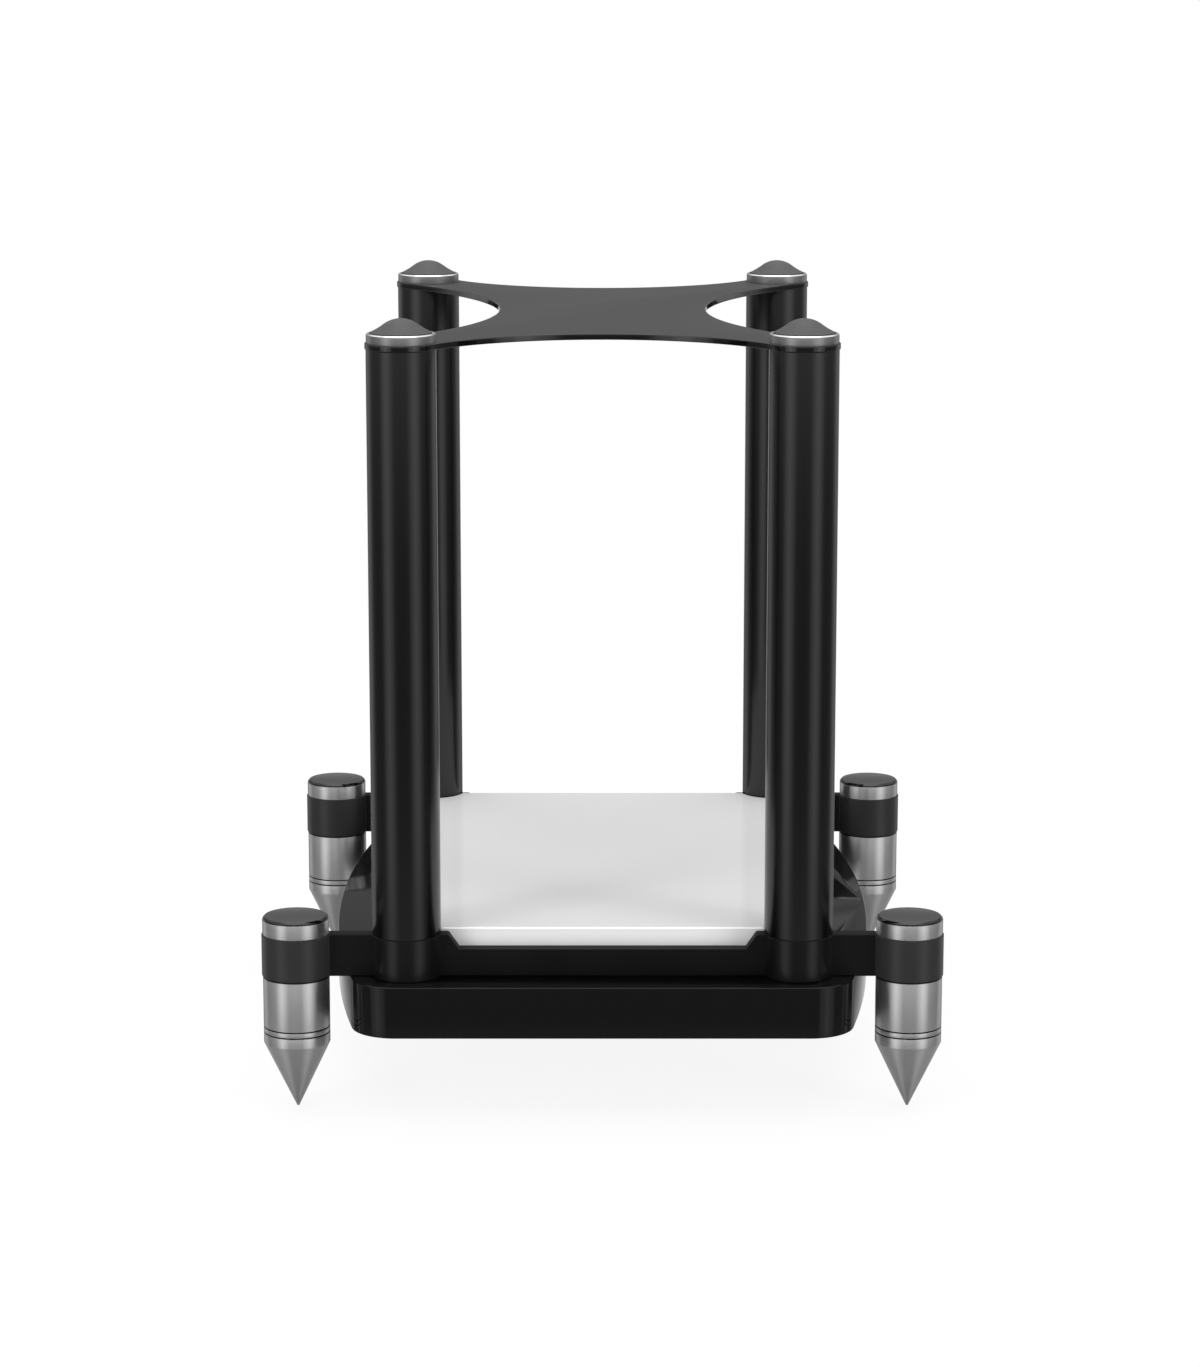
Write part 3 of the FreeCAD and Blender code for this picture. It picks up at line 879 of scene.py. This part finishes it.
class STAND_OT_plinth(bpy.types.Operator):
    """Makes the lacquered plinth with its bolt wells"""

    bl_idname = "stand.plinth"
    bl_label = "Plinth"

    def execute(self, context):
        sizes = context.scene.stand_sizes
        low, high = span("plinth")
        half_x, half_y = high.x, high.y
        end_x = sizes.plinth_end_width / 2
        bulge = half_x - end_x
        side_radius = (half_y ** 2 + bulge ** 2) / (2 * bulge)
        side = Vector((half_x - side_radius, 0, 0))
        inset_y = half_y - sizes.plinth_corner
        reach = math.sqrt((side_radius - sizes.plinth_corner) ** 2 - inset_y ** 2)
        corner = Vector((side.x + reach, -inset_y, 0))
        plinth = bmesh.new()
        middle = plinth.verts.new((0, -half_y, 0))
        leave = plinth.verts.new((corner.x, -half_y, 0))
        plinth.edges.new((middle, leave))
        turn = heading(side, corner)
        arrive = arc_on(plinth, leave, corner, math.pi / 2 + turn, steps=24)
        arc_on(plinth, arrive, side, -turn, steps=48)
        whole_outline(plinth)
        thickened(plinth, high.z - low.z)
        bmesh.ops.translate(plinth, vec=(0, 0, low.z), verts=plinth.verts)
        round_edges(plinth, sizes.plinth_edge, segments=4, least_turn=math.radians(45))
        made = piece("dressed_plinth", plinth, [finish("plinth_lacquer", black_lacquer)],
                     "frame", "plinth")
        self.cut_wells(made, sizes.counterbore / 2, sizes.bolt_hole / 2, low.z, high.z)
        return {"FINISHED"}

    def cut_wells(self, made, well, hole, bottom, top):
        """Cuts the four bolt holes and their wells."""
        seat = span("bolt_washers")[1].z
        spare = 1 * MM
        cutter = turned([
            (0, bottom - spare), (well, bottom - spare), (well, seat), (hole, seat),
            (hole, top + spare), (0, top + spare)])
        tools = bmesh.new()
        for x in (-1, 1):
            for y in (-1, 1):
                one = bpy.data.meshes.new("well")
                placed(cutter, (x * COLUMN_AXIS.x, y * COLUMN_AXIS.y, 0)).to_mesh(one)
                tools.from_mesh(one)
                bpy.data.meshes.remove(one)
        cutter.free()
        mesh = bpy.data.meshes.new("wells")
        tools.to_mesh(mesh)
        tools.free()
        wells = bpy.data.objects.new("wells", mesh)
        bpy.context.scene.collection.objects.link(wells)
        drill = made.modifiers.new("wells", "BOOLEAN")
        drill.operation = "DIFFERENCE"
        drill.object = wells
        drill.solver = "EXACT"
        with bpy.context.temp_override(object=made, active_object=made):
            bpy.ops.object.modifier_apply(modifier=drill.name)
        bpy.data.objects.remove(wells)
        bpy.data.meshes.remove(mesh)


class STAND_OT_kept_nodes(bpy.types.Operator):
    """Finishes the bars, the slab and the inner pieces, which keep their own shapes"""

    bl_idname = "stand.kept_nodes"
    bl_label = "Bars, slab and fasteners"

    def execute(self, context):
        shades = context.scene.stand_colours
        finishes = {
            "front_bar": finish("satin_bars", satin_bars),
            "rear_bar": finish("satin_bars", satin_bars),
            "insert_slab": finish("slab_gloss", pale_gloss),
            "column_top_plugs": finish("plug_aluminium", plain_metal(shades.aluminium, 0.35)),
            "column_bottom_plugs": finish("plug_aluminium", plain_metal(shades.aluminium, 0.35)),
            "plate_screws": finish("screw_steel", plain_metal(shades.steel, 0.3)),
            "plinth_bolts": finish("screw_steel", plain_metal(shades.steel, 0.3)),
            "bolt_washers": finish("screw_steel", plain_metal(shades.steel, 0.3)),
            "foot_bushes": finish("bush_brass", plain_metal(shades.brass, 0.3)),
        }
        for node, material in finishes.items():
            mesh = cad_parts[node].data
            mesh.materials.clear()
            mesh.materials.append(material)
        return {"FINISHED"}


# ---------------------------------------------------------------- stage

PANEL_BEARINGS = {"left_panel": math.radians(-46), "right_panel": math.radians(54)}
PANEL_DISTANCE = 2.2
PANEL_HEIGHT = 0.85
PANEL_SIZE = (0.62, 1.7)
CEILING_PLACE = (0, 0.3, 3.2)
CEILING_SIZE = (4.5, 4.5)
FLOOR_RADIUS = 40


def light_panel(name, place, aim, size, glow):
    """A soft panel of light; its glow is its brightness, where 1 is white."""
    light = bpy.data.lights.new(name, "AREA")
    light.shape = "RECTANGLE"
    light.size, light.size_y = size
    light.energy = glow * math.pi * size[0] * size[1]
    panel = bpy.data.objects.new(name, light)
    panel.location = place
    panel.rotation_euler = (Vector(aim) - Vector(place)).to_track_quat("-Z", "Y").to_euler()
    panel.visible_camera = False
    panel.visible_glossy = False
    bpy.context.scene.collection.objects.link(panel)


def light_world(scene, stage):
    """Even light all round; in reflections, a dim room with pale bands and a lit ceiling.

    x, y and z give the direction in which a ray leaves: y is 1 straight behind the stand, and
    z is 1 straight up.
    """
    scene.world = bpy.data.worlds.new("studio")
    scene.world.cycles.sampling_method = "NONE"
    tree = Tree(scene.world)
    camera, glossy = tree.rays("Is Camera Ray", "Is Glossy Ray")
    x, y, z = tree.parts(tree.add("ShaderNodeTexCoord", {}, {}, "Generated"))
    down = 0 - z

    # four upright bands near the diagonals, each with a bright core; the rear pair is dimmer
    across = abs(x + 0.02) * 0.93
    corner = across * abs(y) * 2 / (across * across + y * y + 0.0001)
    glow = corner.step(0.68, 0.94) * 0.8 + corner.step(0.96, 0.995) * 0.45
    band = glow * (1 - y.step(-0.2, 0.4) * 0.6) * (1 - abs(z + 0.1).step(0.25, 0.5))

    # the wall is dim behind, at the height that the stand's level tops mirror
    wall = z.step(-0.1, 0.1) * 0.2 * (1 - y.step(0.2, 0.7) * z.step(0.13, 0.2) * 0.6)
    front = (1 - y.step(-0.3, 0.3)) * z.step(0.0, 0.3) * 0.35
    ceiling = z.step(0.3, 0.6) * 0.6 + z.step(0.84, 0.96) * 1.5
    floor = down.step(0.30, 0.60) * 0.27 - down.step(0.74, 0.88) * 0.25
    backdrop = y.step(0.90, 0.98) * (1 - z.step(-0.05, 0.05)) * 0.6

    room = stage.room_glow + wall + front + ceiling + floor + backdrop + band * stage.band_glow
    level = camera + (1 - camera) * (glossy * room + (1 - glossy) * stage.ambient)
    tree.surface(
        tree.add("ShaderNodeBackground", {}, {"Color": (1, 1, 1, 1), "Strength": level}),
        "ShaderNodeOutputWorld")


def floor_finish():
    """A pale floor: white to the camera, with a faint shadow kept under the stand."""
    material = bpy.data.materials.new("pale_floor")
    tree = Tree(material)
    camera = tree.rays("Is Camera Ray")[0]
    x, y = tree.parts(tree.position())[:2]
    away = ((x * x + y * y) ** 0.5).step(0.3, 1.2)
    white = tree.add("ShaderNodeEmission", {}, {"Color": (1, 1, 1, 1), "Strength": 1.0})
    paint = tree.add("ShaderNodeBsdfDiffuse", {}, {"Color": (0.8, 0.8, 0.8, 1)})
    seen = camera * (0.9 + away * 0.1)
    tree.surface(tree.add("ShaderNodeMixShader", {}, {0: seen, 1: paint, 2: white}))
    return material


class STAND_OT_stage(bpy.types.Operator):
    """Sets the floor, the lights and the camera"""

    bl_idname = "stand.stage"
    bl_label = "Stage"

    def execute(self, context):
        scene = context.scene
        stage = scene.stand_stage
        shape = bmesh.new()
        bmesh.ops.create_circle(shape, cap_ends=True, segments=64, radius=FLOOR_RADIUS)
        mesh = bpy.data.meshes.new("floor")
        shape.to_mesh(mesh)
        shape.free()
        mesh.materials.append(floor_finish())
        floor = bpy.data.objects.new("floor", mesh)
        scene.collection.objects.link(floor)
        floor.visible_glossy = False

        for name, side in PANEL_BEARINGS.items():
            place = (
                PANEL_DISTANCE * math.sin(side), -PANEL_DISTANCE * math.cos(side), PANEL_HEIGHT)
            light_panel(name, place, (0, 0, PANEL_HEIGHT), PANEL_SIZE, stage.panel_glow)
        light_panel("ceiling_panel", CEILING_PLACE, (0, 0, 0), CEILING_SIZE, stage.ceiling_glow)
        light_world(scene, stage)

        camera = bpy.data.cameras.new("camera")
        camera.lens = stage.camera_lens
        camera.sensor_width = 36
        camera.shift_x = stage.camera_shift
        camera.clip_end = 100
        holder = bpy.data.objects.new("camera", camera)
        holder.location = (0, -stage.camera_distance, stage.camera_height)
        holder.rotation_euler = (math.pi / 2 - stage.camera_dip, 0, 0)
        scene.collection.objects.link(holder)
        scene.camera = holder
        scene.view_settings.view_transform = "Standard"
        return {"FINISHED"}


# ---------------------------------------------------------------- the sidebar

OPERATORS = (
    STAND_OT_columns,
    STAND_OT_pad_cups,
    STAND_OT_rubber_pads,
    STAND_OT_spikes,
    STAND_OT_studs,
    STAND_OT_lock_rings,
    STAND_OT_top_plate,
    STAND_OT_plinth,
    STAND_OT_kept_nodes,
    STAND_OT_stage,
)
GROUPS = {
    "stand_sizes": StandSizes,
    "stand_colours": StandColours,
    "stand_stage": StageSettings,
}


class STAND_PT_panel(bpy.types.Panel):
    """Lists the stand's pieces, sizes and colours"""

    bl_idname = "STAND_PT_panel"
    bl_label = "Speaker stand"
    bl_space_type = "VIEW_3D"
    bl_region_type = "UI"
    bl_category = "Stand"

    def draw(self, context):
        for operator in OPERATORS:
            self.layout.operator(operator.bl_idname)
        for name, group in GROUPS.items():
            column = self.layout.column()
            for key in group.__annotations__:
                column.prop(getattr(context.scene, name), key)


CLASSES = (*GROUPS.values(), *OPERATORS, STAND_PT_panel)


def register():
    for one in CLASSES:
        bpy.utils.register_class(one)
    for name, group in GROUPS.items():
        setattr(bpy.types.Scene, name, bpy.props.PointerProperty(type=group))


def unregister():
    for name in GROUPS:
        delattr(bpy.types.Scene, name)
    for one in reversed(CLASSES):
        bpy.utils.unregister_class(one)


def main():
    register()
    for operator in OPERATORS:
        group, name = operator.bl_idname.split(".")
        getattr(getattr(bpy.ops, group), name)()


if __name__ == "__main__":
    main()
